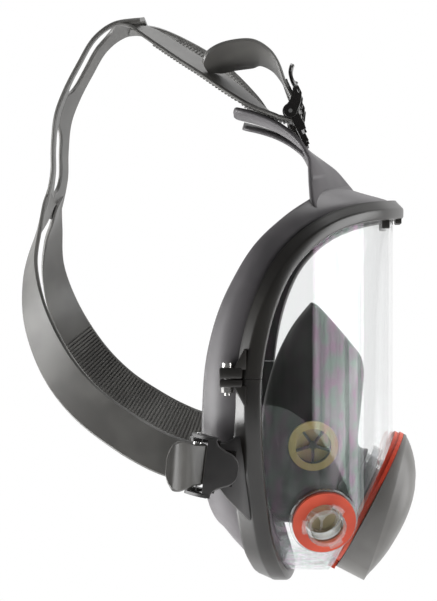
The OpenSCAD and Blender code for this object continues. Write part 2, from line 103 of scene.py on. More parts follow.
def ease(t):
    t = min(1, max(0, t))
    return t * t * (3 - 2 * t)


# %% [markdown]
# A loft needs only rings with equally many points, in the same order. Making
# the rings first and bridging them afterwards keeps the shape in one place
# and the mesh work in another.

# %% Lofts between rings of points
def ring_of(bm, points):
    """Adds one closed ring of edges and returns them."""
    verts = [bm.verts.new(p) for p in points]
    return [bm.edges.new((v, verts[(i + 1) % len(verts)])) for i, v in enumerate(verts)]


def loft(rings, closed=False, caps=True, bm=None):
    """A skin over rings of points: each ring is bridged to the next."""
    bm = bm or bmesh.new()
    loops = [ring_of(bm, ring) for ring in rings]
    pairs = list(zip(loops, loops[1:])) + ([(loops[-1], loops[0])] if closed else [])
    for a, b in pairs:
        bmesh.ops.bridge_loops(bm, edges=a + b)
    if caps and not closed:
        bmesh.ops.holes_fill(bm, edges=loops[0] + loops[-1])
    return bm


def piece(name, bm, body, material, stands_for=(), smooth=38):
    """Turns a mesh in millimetres into a finished object that rides on a body."""
    bmesh.ops.recalc_face_normals(bm, faces=bm.faces)
    bmesh.ops.scale(bm, vec=(MM, MM, MM), verts=bm.verts)
    mesh = bpy.data.meshes.new(name)
    bm.to_mesh(mesh)
    bm.free()
    obj = bpy.data.objects.new(name, mesh)
    bpy.context.scene.collection.objects.link(obj)
    mesh.materials.append(material)
    soften(obj, smooth)
    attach(obj, body)
    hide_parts(*stands_for)
    print(name, "has", len(mesh.polygons), "faces")
    return obj


def soften(obj, angle):
    """Smooth shading with creases kept where faces meet at more than angle."""
    mesh = obj.data
    mesh.polygons.foreach_set("use_smooth", [True] * len(mesh.polygons))
    bm = bmesh.new()
    bm.from_mesh(mesh)
    for edge in bm.edges:
        edge.smooth = len(edge.link_faces) == 2 and edge.calc_face_angle(0) < math.radians(angle)
    bm.to_mesh(mesh)
    bm.free()


def bevel(obj, width, segments=2, angle=35):
    m = obj.modifiers.new("Rounded edges", "BEVEL")
    m.width, m.segments, m.limit_method = width * MM, segments, "ANGLE"
    m.angle_limit = math.radians(angle)


def subdivide(obj, levels):
    m = obj.modifiers.new("Smooth skin", "SUBSURF")
    m.levels = m.render_levels = levels


def thicken(obj, wall):
    """Gives an open skin a wall of the given thickness, on its inner side."""
    m = obj.modifiers.new("Wall", "SOLIDIFY")
    m.thickness, m.offset = wall * MM, -1


# %% [markdown]
# ## Materials
#
# A shader is arithmetic on fields, so a small class that turns `+` and `*`
# into Math nodes keeps each recipe short. Every recipe starts from object
# coordinates, which stay put on the piece wherever it is moved.

# %% A small shader language
class Field:
    """One value flowing through a node tree."""

    def __init__(self, tree, socket):
        self.tree, self.socket = tree, socket

    def math(self, kind, a, b=0.0):
        node = self.tree.nodes.new("ShaderNodeMath")
        node.operation = kind
        for slot, value in zip(node.inputs, (a, b)):
            plug(self.tree, slot, value)
        return Field(self.tree, node.outputs[0])

    def __add__(self, other):
        return self.math("ADD", self, other)

    def __radd__(self, other):
        return self.math("ADD", other, self)

    def __sub__(self, other):
        return self.math("SUBTRACT", self, other)

    def __rsub__(self, other):
        return self.math("SUBTRACT", other, self)

    def __mul__(self, other):
        return self.math("MULTIPLY", self, other)

    def __rmul__(self, other):
        return self.math("MULTIPLY", other, self)

    def __pow__(self, power):
        return self.math("POWER", self, power)

    def between(self, low, high):
        """0 below low, 1 above high, smooth between."""
        return use(self.tree, "MapRange", "Result", {"interpolation_type": "SMOOTHSTEP"},
                   {"Value": self, "From Min": low, "From Max": high})


def plug(tree, slot, value):
    if isinstance(value, Field):
        tree.links.new(value.socket, slot)
    else:
        slot.default_value = value


def use(tree, kind, output, settings, sockets):
    """Any other node: its settings first, then its sockets, by name or by place."""
    node = tree.nodes.new("ShaderNode" + kind)
    for key, value in settings.items():
        setattr(node, key, value)
    for key, value in sockets.items():
        plug(tree, node.inputs[key], value)
    return Field(tree, node.outputs[output])


def colour_mix(tree, factor, a, b):
    """A Mix node's colour sockets share their names with others, so they go by place."""
    a, b = (c if isinstance(c, Field) else (*c, 1) for c in (a, b))
    return use(tree, "Mix", 2, {"data_type": "RGBA"}, {0: factor, 6: a, 7: b})


def new_material(name):
    material = bpy.data.materials.new(name)
    material.use_nodes = True
    tree = material.node_tree
    shader = tree.nodes["Principled BSDF"]
    place = use(tree, "TexCoord", "Object", {}, {})
    return material, tree, shader, place


def noise(tree, place, size, detail=2.0):
    """Soft random values, with features of about the given size in mm."""
    return use(tree, "TexNoise", "Fac", {},
               {"Vector": place, "Scale": 1 / (size * MM), "Detail": detail})


BLOTCH = 22  # mm across one broad change of tone


def moulded(name, light, dark, rough, grain=0.35, depth=0.02, specular=0.5):
    """Moulded rubber or plastic: broad tone changes, a fine grain and a soft sheen."""
    material, tree, shader, place = new_material(name)
    broad = noise(tree, place, BLOTCH)
    fine = noise(tree, place, grain, 3)
    plug(tree, shader.inputs["Base Color"], colour_mix(tree, broad.between(0.35, 0.65), dark, light))
    plug(tree, shader.inputs["Roughness"], rough - 0.04 + broad * 0.06 + fine * 0.03)
    bump = use(tree, "Bump", "Normal", {}, {"Height": fine, "Strength": 0.25, "Distance": depth * MM})
    plug(tree, shader.inputs["Normal"], bump)
    shader.inputs["Specular IOR Level"].default_value = specular
    return material


# %% [markdown]
# Each moulded finish is now one call: its lighter and darker tone, and how
# rough it is. Metals and clear plastics work differently, so each of those
# has its own recipe.

# %% The recipes
seal_rubber = moulded("Face seal rubber", (0.088, 0.082, 0.087), (0.066, 0.062, 0.066), 0.46, specular=0.55)
# Painted shade: a darker copy of the seal rubber, standing for the shadow that the lower tabs lie in.
shaded_tab_rubber = moulded("Shaded tab rubber", (0.04, 0.038, 0.038), (0.026, 0.025, 0.025), 0.42, specular=0.5)
strap_rubber = moulded("Strap rubber", (0.092, 0.09, 0.084),
                       (0.064, 0.062, 0.058), 0.4, grain=0.5, specular=0.6)
cup_rubber = moulded("Nose cup rubber", (0.017, 0.017, 0.016), (0.01, 0.01, 0.009), 0.38, depth=0.004)
frame_nylon = moulded("Frame nylon", (0.016, 0.0145, 0.0125), (0.01, 0.009, 0.008), 0.32, specular=0.65)
cover_plastic = moulded("Cover plastic", (0.15, 0.146, 0.14), (0.122, 0.119, 0.113), 0.4, specular=0.5)
black_plastic = moulded("Buckle plastic", (0.01, 0.009, 0.008), (0.006, 0.005, 0.005), 0.24, specular=0.6)
gasket_rubber = moulded("Gasket silicone", (0.62, 0.075, 0.03), (0.48, 0.045, 0.02), 0.4, specular=0.45)
flap_rubber = moulded("Valve silicone", (0.5, 0.44, 0.27), (0.4, 0.35, 0.2), 0.4, specular=0.45)
seat_plastic = moulded("Cup valve plastic", (0.4, 0.32, 0.12), (0.3, 0.24, 0.08), 0.3)
# Painted light: the cup valve flaps are much lighter than the other valve silicone, so they show bright
# where they lie in the cup's shade.
brightened_cup_flap = moulded("Cup valve silicone, brightened", (0.8, 0.64, 0.26), (0.66, 0.52, 0.2), 0.35)
spoke_plastic = moulded("Cup valve cage", (0.03, 0.028, 0.02), (0.018, 0.017, 0.012), 0.3)


def metal(name, colour, rough):
    material, tree, shader, place = new_material(name)
    smear = noise(tree, place, 1.5, 3)
    plug(tree, shader.inputs["Base Color"], colour_mix(tree, smear, [c * 0.85 for c in colour], colour))
    plug(tree, shader.inputs["Roughness"], rough + smear * 0.12)
    shader.inputs["Metallic"].default_value = 1.0
    return material


chrome = metal("Roller chrome", (0.8, 0.8, 0.79), 0.1)
screw_steel = metal("Screw steel", (0.72, 0.71, 0.69), 0.2)


def clear(name, tint, gloss_rough, strength, gloss=None, base=0.04):
    """Thin clear plastic: light goes straight through, and only its gloss shows."""
    material, tree, shader, place = new_material(name)
    out = tree.nodes["Material Output"]
    see = use(tree, "BsdfTransparent", "BSDF", {}, {"Color": (*tint, 1)})
    smear = noise(tree, place, 14, 3)
    shader.inputs["Metallic"].default_value = 1.0
    plug(tree, shader.inputs["Base Color"], gloss(tree, place) if gloss else (1, 1, 1, 1))
    plug(tree, shader.inputs["Roughness"], gloss_rough + smear * 0.02)
    facing = use(tree, "LayerWeight", "Facing", {}, {"Blend": 0.5})
    shine = (base + facing**4 * 0.8) * strength
    sheen = Field(tree, shader.outputs["BSDF"])
    blend = use(tree, "MixShader", "Shader", {}, {0: shine, 1: see, 2: sheen})
    plug(tree, out.inputs["Surface"], blend)
    return material


def stress_colours(tree, place):
    """The lilac and green that moulding stress leaves in a clear sheet, in upright streaks."""
    def stretched_noise(x, z, detail):
        stretch = use(tree, "VectorMath", "Vector", {"operation": "MULTIPLY"}, {0: place, 1: (x, x, z)})
        return use(tree, "TexNoise", "Fac", {}, {"Vector": stretch, "Scale": 1.0, "Detail": detail})

    patches = stretched_noise(190, 110, 1.5)
    streaks = stretched_noise(330, 5, 1.0)
    tint = colour_mix(tree, patches.between(0.42, 0.58), (0.62, 0.78, 0.7), (0.86, 0.6, 0.8))
    tint = colour_mix(tree, streaks.between(0.52, 0.6), tint, (0.35, 0.42, 0.4))
    forward = use(tree, "SeparateXYZ", "X", {}, {"Vector": place})
    return colour_mix(tree, forward.between(0.06, 0.07), tint, (1, 1, 1))


visor_clear = clear("Visor polycarbonate", (0.985, 0.988, 0.988), 0.02, 1.0, stress_colours, 0.032)
smoke_clear = clear("Smoked plastic", (0.6, 0.61, 0.62), 0.06, 1.4, base=0.08)
moulded_clear = clear("Clear plastic", (0.88, 0.885, 0.88), 0.04, 1.4, base=0.09)
print("made", len(bpy.data.materials), "materials")

# %% [markdown]
# ## The loop round the visor
#
# The frame, the seal and the visor's edge all follow one closed loop. It
# lies on the visor's cylinder above, on the flat cheeks beside the mouth and
# on a rounded chin below, so its key points are given in those terms:
# an angle and a height, or a place on the cheek.

# %% The loop and its directions
VISOR_R = 80
CHEEK_N, CHEEK_D = Vector((0.2, -0.935, -0.293)), 83.2
OUTLET_N, OUTLET_C = Vector((0.892, 0, -0.453)), Vector((64.6, 0, -74.8))
OUTLET_DOWN = Vector((-0.453, 0, -0.892))


def on_cylinder(angle, z):
    a = math.radians(angle)
    return (VISOR_R * math.cos(a), -VISOR_R * math.sin(a), z)


def on_cheek(x, z):
    return (x, (CHEEK_D - CHEEK_N.x * x - CHEEK_N.z * z) / CHEEK_N.y, z)


def on_chin(angle, x):
    a = math.radians(angle)
    return (x, -22 - 40 * math.cos(a), -71 - 40 * math.sin(a))


half_loop = [
    on_cylinder(0, 72.7), on_cylinder(24, 71.4), on_cylinder(40, 69.4), on_cylinder(53, 64.7),
    on_cylinder(63.5, 56.2), on_cylinder(71.8, 43.6), on_cylinder(77.6, 27), on_cylinder(81.3, 8.5),
    on_cylinder(83.2, -12), on_cheek(9.6, -32), on_cheek(10, -50), on_cheek(11.3, -67),
    on_chin(28, 14.2), on_chin(52, 18), on_chin(76, 21.5), (23.5, 0, -111),
]
STEPS = 6
loop = curve(both_halves(half_loop), STEPS, closed=True)
COUNT = len(loop)


def directions(i):
    """Along the loop, out of the visor, and inward across the frame."""
    p = loop[i]
    along = (loop[(i + 1) % COUNT] - loop[i - 1]).normalized()
    radial = Vector((p.x, p.y, 0)).normalized()
    out = mix(radial, along.cross(X).normalized(), ease((20 - p.z) / 60))
    out = (out - out.dot(along) * along).normalized()
    return along, out, out.cross(along)


WAYS = [directions(i) for i in range(COUNT)]


def at(i, k, m):
    """k mm out of the visor and m mm inward from the loop's place i."""
    return loop[i] + WAYS[i][1] * k + WAYS[i][2] * m


def half_width(i):
    """Half the frame's width: narrow over the brow, wider at the sides."""
    return mix(8.6, 11.2, ease((68 - loop[i].z) / 70)) / 2


print("the loop is", round(sum((loop[i] - loop[i - 1]).length for i in range(COUNT))), "mm round")

# %% [markdown]
# ## The lens frame
#
# The frame is one section swept round the loop: a flat outer band, a
# bevelled shoulder behind it and a thin lip that presses on the seal. A
# sweep could be a curve with a bevel shape, but the section has to lean with
# the visor and grow wider at the sides, so a loft is the simpler tool here.
# `bisect_plane` then cuts the finished ring into its two real halves, and
# rounded blocks add the screw lugs and the four nubs under the brow.

# %% Frame sections
PARTING_Z, PARTING_GAP = -10, 0.15  # where the halves meet, and half the gap between them


def block(bm, low, high, round_by):
    """A box between two corners, with rounded edges. Returns its vertices."""
    low, high = Vector(map(min, low, high)), Vector(map(max, low, high))
    made = bmesh.ops.create_cube(bm, size=1)["verts"]
    bmesh.ops.scale(bm, vec=high - low, verts=made)
    bmesh.ops.translate(bm, vec=(low + high) / 2, verts=made)
    edges = list({e for v in made for e in v.link_edges})
    return bmesh.ops.bevel(bm, geom=edges, offset=round_by, segments=2, profile=0.5,
                           affect="EDGES", material=-1)["verts"]


def frame_section(i):
    h = half_width(i)
    back = h + 3.4 * ease((-18 - loop[i].z) / 40)
    return [
        at(i, 0.3, h - 0.5), at(i, 0.3, -h + 0.4), at(i, 0.4, -back - 0.9), at(i, 1.5, -back - 1.1),
        at(i, 2.0, -back - 0.5), at(i, 2.4, -back), at(i, 4.9, -h + 2.5), at(i, 5.35, -h + 3.1),
        at(i, 5.5, -h + 3.8), at(i, 5.5, 0.6), at(i, 5.45, h - 1.5), at(i, 4.95, h - 0.6),
        at(i, 3.9, h - 0.1), at(i, 1.2, h),
    ]


def temple_boss(bm, side, upper):
    """The lug that takes a frame screw, and the rib that leans from it into the frame."""
    low, high = (PARTING_Z + PARTING_GAP, -4.5) if upper else (-14, PARTING_Z - PARTING_GAP)
    block(bm, (-5, -86.5 * side, low), (6, -79.2 * side, high), 0.9)
    foot, top = (high - 1, high + 9) if upper else (low - 9, low + 1)
    rib = block(bm, (2, -86 * side, foot), (8, -80 * side, top), 0.8)
    for v in rib:
        if (v.co.z > high + 4) == upper and v.co.x < 5 and abs(v.co.z - low) > 6:
            v.co.x += 4.5


def frame_half(name, upper, node):
    bm = loft([frame_section(i) for i in range(COUNT)], closed=True)
    gap = PARTING_GAP if upper else -PARTING_GAP
    cut = bmesh.ops.bisect_plane(
        bm, geom=bm.verts[:] + bm.edges[:] + bm.faces[:], plane_co=(0, 0, PARTING_Z + gap),
        plane_no=Z, clear_inner=upper, clear_outer=not upper,
    )
    rim = [e for e in cut["geom_cut"] if isinstance(e, bmesh.types.BMEdge)]
    bmesh.ops.holes_fill(bm, edges=rim)
    for side in (1, -1):
        temple_boss(bm, side, upper)
        if upper:
            block(bm, (73.5, -31.5 * side, 63), (77.5, -28 * side, 70), 0.6)
            block(bm, (81, -10 * side, 65.8), (84.2, -6 * side, 70), 0.6)
    piece(name, bm, "facepiece", frame_nylon, [node], smooth=30)


frame_half("Frame_upper", True, "upper_lens_frame")
frame_half("Frame_lower", False, "lower_lens_frame")

# %% [markdown]
# ## The visor
#
# The visor keeps the exact solid it was drawn with: its flats, its chin and
# its holes are true there. It only needs a clear material. The fittings are
# treated in the same way, some with their edges rounded a little.

# %% Dress the exact visor and fittings
def dress(node, material, round_by=0.0):
    """Gives an exact part its material and, where it needs one, a rounded edge."""
    obj = nodes[node]
    obj.data.materials.clear()
    obj.data.materials.append(material)
    obj.data.polygons.foreach_set("use_smooth", [True] * len(obj.data.polygons))
    if round_by:
        bevel(obj, round_by)


CUP_VALVE_C, CUP_VALVE_N = Vector((39, -35.6, -46.5)), Vector((0.1, -0.985, -0.1)).normalized()
CAGE_R = 9.3  # the cage inside the cup valve's rim
# The outlet's plate lies a gasket's thickness off the visor. Faces in a band
# just wider than the plate, and outside this radius, are its rim.
GASKET_T, PLATE_BAND_TOP, RIM_R = 2.6, 4.7, 21


def two_tone(node, material, is_second):
    """Gives a second material to the faces whose centres, in mm, pass a test."""
    mesh = nodes[node].data
    mesh.materials.append(material)
    for face in mesh.polygons:
        if is_second(face.center / MM):
            face.material_index = 1


def on_plate_rim(p):
    """The gasket wraps the rim of the outlet's plate, so the rim takes its colour."""
    height = (p - OUTLET_C).dot(OUTLET_N)
    from_axis = (p - OUTLET_C - OUTLET_N * height).length
    return GASKET_T < height < PLATE_BAND_TOP and from_axis > RIM_R


dress("visor_lens", visor_clear)
dress("frame_screws", screw_steel, round_by=0.3)
dress("frame_nuts", screw_steel, round_by=0.3)
dress("outlet_body", smoke_clear)
two_tone("outlet_body", gasket_rubber, on_plate_rim)
dress("outlet_lock_ring", smoke_clear)
dress("outlet_gasket", gasket_rubber, round_by=0.4)
dress("exhale_valve_flap", flap_rubber)
for side in SIDES:
    dress("filter_port_" + side, moulded_clear)
    dress("port_gasket_" + side, gasket_rubber, round_by=0.4)
    dress("port_valve_flap_" + side, flap_rubber)
    dress("cup_valve_seat_" + side, seat_plastic)
    valve = flip(CUP_VALVE_C, SIDES[side])
    two_tone("cup_valve_seat_" + side, spoke_plastic, lambda p: (p - valve).length < CAGE_R)
    # The flap's light colour is painted light against the shade inside the cup.
    dress("cup_valve_flap_" + side, brightened_cup_flap)
print("dressed the exact parts")

# %% [markdown]
# ## The face seal
#
# The seal is one rubber moulding. Its skirt leaves the frame, bulges a
# little, rolls over a soft rear edge and turns in to a thin flap that lies on
# the face. Sections run from the frame's edge to that flap and back along the
# inside, and a subdivision rounds what the sections leave angular.

# %% Skirt and turned-in flap
half_rear = [
    (52, 0, 84), (50, -24, 83.5), (44, -45, 81.5), (35.5, -60, 76),
    (24.5, -69, 68), (11, -73.5, 55), (1, -74.5, 39), (-7, -74, 21),
    (-12.5, -72.5, -1), (-14.5, -70.5, -24), (-15, -66, -46), (-14.5, -57.5, -65),
    (-11, -46, -81), (-4, -33, -90.5), (3, -18, -96.5), (8, 0, -99.5),
]
rear = curve(both_halves(half_rear), STEPS, closed=True)


def seal_section(i):
    h, out, r = half_width(i), WAYS[i][1], rear[i]
    inward = Vector((0, -r.y, -8 - r.z)).normalized()
    a, b = at(i, -0.3, -0.8), at(i, -0.2, -h - 0.6)
    a2, b2 = at(i, -2.5, -0.8), at(i, -2.5, -h - 0.6)
    return [
        a, b, mix(b, r, 0.3) + out * 1.9, mix(b, r, 0.65) + out * 2.3, r - inward * 1 + X * 2.6,
        r - inward * 0.2 + X * 0.5, r + inward * 2.4 - X * 0.5, r + inward * 8 + X * 2.2,
        r + inward * 15 + X * 6, r + inward * 15.2 + X * 7, r + inward * 8.6 + X * 3.9,
        r + inward * 3.6 + X * 2.8, mix(b2, r, 0.6) + out * 0.9 + inward,
        mix(b2, r, 0.3) + out * 0.5 + inward * 0.6, b2, a2,
    ]


seal = piece("Face_seal", loft([seal_section(i) for i in range(COUNT)], closed=True),
             "facepiece", seal_rubber, ["face_seal"], smooth=60)
subdivide(seal, 1)

# %% [markdown]
# Four tabs grow out of the seal to carry the buckles. Each is a band between
# two edge curves, wide where it leaves the seal and as wide as a strap where
# the buckle sits. The upper ones run on into a rounded tongue that keeps the
# buckle off the forehead.

# %% Buckle tabs
upper_tab = [
    ((66, -9, 73.5), (43, -67, 66)), ((61, -11, 79.5), (39, -64, 74)), ((56, -14, 85.5), (38, -60, 82)),
    ((50, -20.5, 92), (37.5, -55, 90)), ((43.5, -26, 96.5), (37, -51.5, 96)),
    ((37.5, -29, 100.5), (35, -49.7, 101)), ((32.5, -30, 104.8), (32, -49, 106)),
    ((26, -30.5, 109.8), (26, -48.5, 111.5)), ((18, -30.5, 114), (18, -48.5, 116.5)),
    ((9, -31, 117), (9, -48, 120)), ((1.5, -32.5, 118.8), (1.5, -46.5, 122)),
    ((-0.5, -35.5, 119.8), (-0.5, -43.5, 122.3)),
]
lower_tab = [
    ((11, -75.5, -29), (14, -60, -86)), ((7, -77.6, -34), (9, -64.5, -81)),
    ((3, -78.2, -38), (4, -70.5, -75.5)), ((-2, -78.3, -40.7), (-2, -75.4, -68.5)),
    ((-6.5, -78.2, -41.5), (-6, -77.6, -63)), ((-9.5, -78.2, -41.8), (-9.5, -78.2, -61.2)),
]
# The lower tabs take the darker rubber, which is painted shade; the upper ones keep the seal's own rubber.
TABS = (("upper", upper_tab, 2.6, seal_rubber), ("lower", lower_tab, 3.0, shaded_tab_rubber))


def band_rings(a, b, thick):
    """Rounded flat sections between two edge curves."""
    rings = []
    for i in range(len(a)):
        lo, hi = max(i - 1, 0), min(i + 1, len(a) - 1)
        along = ((a[hi] + b[hi]) - (a[lo] + b[lo])).normalized()
        across = b[i] - a[i]
        up = along.cross(across).normalized()
        side = across.normalized()
        t, mid = thick / 2, (a[i] + b[i]) / 2
        soft = min(0.8, t * 0.8)
        rings.append([
            a[i] + up * (t - soft), a[i] + up * t + side * soft, mid + up * t, b[i] + up * t - side * soft,
            b[i] + up * (t - soft), b[i] - up * (t - soft), b[i] - up * t - side * soft, mid - up * t,
            a[i] - up * t + side * soft, a[i] - up * (t - soft),
        ])
    return rings


for side, s in SIDES.items():
    for label, keys, thick, rubber in TABS:
        a, b = (curve(vectors([k[n] for k in keys], s), 5) for n in (0, 1))
        bm = loft(band_rings(a, b, thick))
        piece(f"Seal_tab_{label}_{side}", bm, "facepiece", rubber, smooth=50)

# %% [markdown]
# ## The nose cup
#
# The cup is a loft of eight rings, from the open rim that lies round the
# nose and mouth to the collar that grips the outlet. The top of the rings
# keeps a ridge, which is the nose. The check valves need round holes, so the
# vertices inside each are deleted and the edge that is left is moved onto a
# circle.

# %% Nose cup
COLLAR_R, CUP_WALL = 21.9, 1.8
HOLE_R, CLEARED_R, NEAR_R = 11.3, 10.6, 22  # the valve's hole, the vertices deleted, and its own edge


def collar(depth, radius):
    c = OUTLET_C + OUTLET_N * depth
    return [c - OUTLET_DOWN * radius * math.cos(math.radians(a)) - Y * radius * math.sin(math.radians(a))
            for a in range(0, 181, 30)]


cup_halves = [
    [(36.8, 0, 24.7), (27, -13, 12), (18.5, -25, -6), (13, -35, -30), (12, -37, -55), (16, -26, -78),
     (21, 0, -88)],
    [(38.5, 0, 25.2), (28, -14.5, 12), (20.5, -27, -6.5), (15.5, -37, -30), (14.5, -38.5, -55),
     (18, -27, -80), (23, 0, -90)],
    [(43.5, 0, 21.5), (33, -16, 8), (27, -28, -8), (24, -37.5, -30), (23, -39, -55), (26, -28, -80),
     (29, 0, -91)],
    [(57, 0, 6), (47, -18, -6), (42, -29, -20), (40, -35, -38), (38, -36.5, -60), (40, -27, -84),
     (42, 0, -94)],
    [(65, 0, -7), (58, -15, -18), (55, -24, -32), (52, -28.5, -47), (49, -29.5, -66), (48, -22, -84),
     (48, 0, -92)],
    [(63.5, 0, -31), (60, -14, -36), (57.5, -22, -47), (54, -25.5, -60), (51, -25, -72), (49, -17, -84),
     (49, 0, -89)],
    collar(-14, COLLAR_R),
    collar(-8, COLLAR_R),
]
cup_rings = [curve(both_halves(h), 5, closed=True) for h in cup_halves]
cup_rings = list(zip(*[curve(list(line), 5) for line in zip(*cup_rings)]))
cup_bm = loft(cup_rings, caps=False)
def valve_hole(bm, centre, axis):
    """A round hole for a check valve, in a skin that has no thickness yet."""
    def split(v):
        height = (v.co - centre).dot(axis)
        return height, v.co - centre - axis * height

    near = [v for v in bm.verts if abs(split(v)[0]) < 8 and split(v)[1].length < CLEARED_R]
    bmesh.ops.delete(bm, geom=near, context="VERTS")
    for v in bm.verts:
        height, across = split(v)
        if (v.co - centre).length < NEAR_R and any(e.is_boundary for e in v.link_edges):
            v.co = centre + across.normalized() * HOLE_R + axis * (0.2 * height)


for s in (1, -1):
    valve_hole(cup_bm, flip(CUP_VALVE_C, s), flip(CUP_VALVE_N, s))
nose_cup = piece("Nose_cup", cup_bm, "facepiece", cup_rubber, ["nose_cup"], smooth=70)
thicken(nose_cup, CUP_WALL)
subdivide(nose_cup, 1)

# %% [markdown]
# ## The outlet cover
#
# A wedge that is shallow at the top and deep at the bottom. Side walls rise
# to a crease and a dome closes the front. Both heights are simple functions
# of the distance down the cover, so the rings follow from two numbers each.

# %% Outlet cover
COVER_HALF, COVER_WALL, COVER_STEPS = 39, 2, 64
COVER_MID = COVER_HALF * 0.04
OUTLET_PLATE_T, COVER_GAP = 1.9, 0.35
COVER_Z = GASKET_T + OUTLET_PLATE_T + COVER_GAP


def cover_edge(a):
    c = math.cos(a)
    return COVER_HALF * c, 28 * (1 - 0.08 * c - 0.1 * c * c) * math.sin(a)


def crease(x):
    return max(1, min(16, 8.5 + 0.19 * x))


def dome(x):
    return max(crease(x), 20.6 - 17 * abs((x - 10) / 52) ** 2.6)


def outlet_point(x, y, z):
    return OUTLET_C + OUTLET_DOWN * x + Vector((0, y, 0)) + OUTLET_N * z


def cover_ring(scale, height):
    """A ring of the cover's outline, shrunk by scale, whose height depends on x."""
    ring = []
    for k in range(COVER_STEPS):
        x, y = cover_edge(math.tau * k / COVER_STEPS)
        x = COVER_MID + x * scale
        ring.append(outlet_point(x, y * scale, COVER_Z + height(x)))
    return ring


def domed(share):
    """A height part of the way from the crease up to the dome."""
    return lambda x: mix(crease(x), dome(x), share)


levels = [(1, 0), (0.985, 0.06), (0.95, 0.3), (0.9, 0.5), (0.84, 0.66),
          (0.75, 0.8), (0.63, 0.9), (0.48, 0.96), (0.3, 0.99), (0.12, 1)]
side_wall = [cover_ring(1, lambda x, z=z: z) for z in (0, 0.5)]
cover_bm = loft(side_wall + [cover_ring(scale, domed(share)) for scale, share in levels], caps=False)
tip = [e for e in cover_bm.edges if e.is_boundary and e.verts[0].co.x > 70]
bmesh.ops.holes_fill(cover_bm, edges=tip)
cover = piece("Outlet_cover", cover_bm, "cover_body", cover_plastic, ["outlet_cover"], smooth=65)
thicken(cover, COVER_WALL)

# %% [markdown]
# ## The harness
#
# Crown and straps are one moulding. Each strap is a band along a path, and a
# path key is a point, the direction its smooth side faces, and a width. The
# teeth are small bars laid on the other side, one every two millimetres,
# which is how a roller buckle gets its grip.

# %% Strap paths
UPPER_O, UPPER_PITCH = Vector((28, -39.5, 120.5)), math.radians(64)
LOWER_O, LOWER_PITCH = Vector((-17, -80.5, -51)), math.radians(7.5)
STRAP_W, STRAP_T, WRAP_R = 20, 2, 3.7
up = (-0.3, 0, 0.95)
tail = (-0.9, 0, -0.44)
upper_run = [
    ((-60, -13.5, 169.6), up, STRAP_W), ((-50, -15.5, 167), up, STRAP_W), ((-33.4, -22, 156), up, STRAP_W),
    ((-15, -30, 143.3), up, STRAP_W), ((1.4, -36, 131), up, STRAP_W),
    ((13, -38.8, 122.8), up, STRAP_W), ((23, -39.5, 118), up, STRAP_W),
]
upper_tail = [
    ((28, -39.5, 128.9), tail, STRAP_W), ((24.9, -39.5, 135.2), tail, STRAP_W),
    ((20.4, -39.5, 143.6), (-0.8, -0.15, -0.5), STRAP_W), ((14.5, -39.5, 149), (-0.3, -0.35, -0.9), 21),
    ((8, -39.5, 150.5), (0, -0.5, -0.87), 24), ((-2, -39.5, 149.5), (0, -0.5, -0.87), 24.5),
    ((-10, -39.5, 147), (0.2, -0.45, -0.87), 23), ((-14, -39.5, 145), (0.3, -0.4, -0.87), 16),
    ((-15.6, -39.5, 144.2), (0.3, -0.4, -0.87), 8),
]
SLACK = 8.5
RUN_SHARE, TAIL_SHARE = (0, 0.3, 0.8, 1, 0.7, 0.2, 0), (0, 0.1, 0.5, 1, 1, 1, 1, 1, 1)
lower_run = [
    ((-97.6, -13.6, 80), (-1, 0, 0), STRAP_W), ((-100, -16.5, 73), (-1, -0.1, 0), STRAP_W),
    ((-103, -24, 61), (-0.95, -0.3, 0.1), STRAP_W), ((-105, -35, 41), (-0.85, -0.5, 0), STRAP_W),
    ((-100, -47, 18), (-0.65, -0.75, 0), STRAP_W), ((-88, -58, -5), (-0.4, -0.9, 0), STRAP_W),
    ((-72, -66, -23), (-0.2, -0.97, 0), STRAP_W), ((-52, -72, -37), (0, -1, 0), STRAP_W),
    ((-36, -75.6, -45.5), (0, -1, 0), STRAP_W), ((-24, -76.8, -49.8), (0, -1, 0), STRAP_W),
]
lower_tail = [
    ((-17.3, -86.5, -51), (-0.8, 0.6, 0), STRAP_W), ((-20.8, -91.9, -50.7), (-0.85, 0.5, 0), 23),
    ((-23, -97.5, -50.4), (-0.85, 0.5, 0), 24), ((-25.2, -101, -50), (-0.5, 0.87, 0), 22.5),
    ((-27.6, -101.8, -49.8), (-0.2, 0.98, 0), 16), ((-28.8, -102, -49.7), (-0.2, 0.98, 0), 8),
]


def slackened(keys, share):
    """The same path drawn slacker: higher between its ends, and untwisted."""
    return [(Vector(k[0]) + Z * SLACK * part, (k[1][0], 0, k[1][2]), k[2]) for k, part in zip(keys, share)]


def dense(keys, steps):
    lines = [curve([Vector(k[n]) if n < 2 else k[n] for k in keys], steps) for n in range(3)]
    return list(zip(*lines))


def wrap(centre, ax, az, start, end):
    """The strap's turn round its roller."""
    path = []
    for k in range(13):
        a = math.radians(mix(start, end, k / 12))
        out = ax * math.cos(a) + az * math.sin(a)
        path.append((centre + out * WRAP_R, -out, STRAP_W))
    return path


def strap_frame(path, i):
    along = (path[min(i + 1, len(path) - 1)][0] - path[max(i - 1, 0)][0]).normalized()
    side = along.cross(path[i][1]).normalized()
    return along, side, side.cross(along).normalized()


def strap_rings(path, thick):
    a, b = [], []
    for i, (p, _, width) in enumerate(path):
        side = strap_frame(path, i)[1]
        a.append(p - side * width / 2)
        b.append(p + side * width / 2)
    return band_rings(a, b, thick)


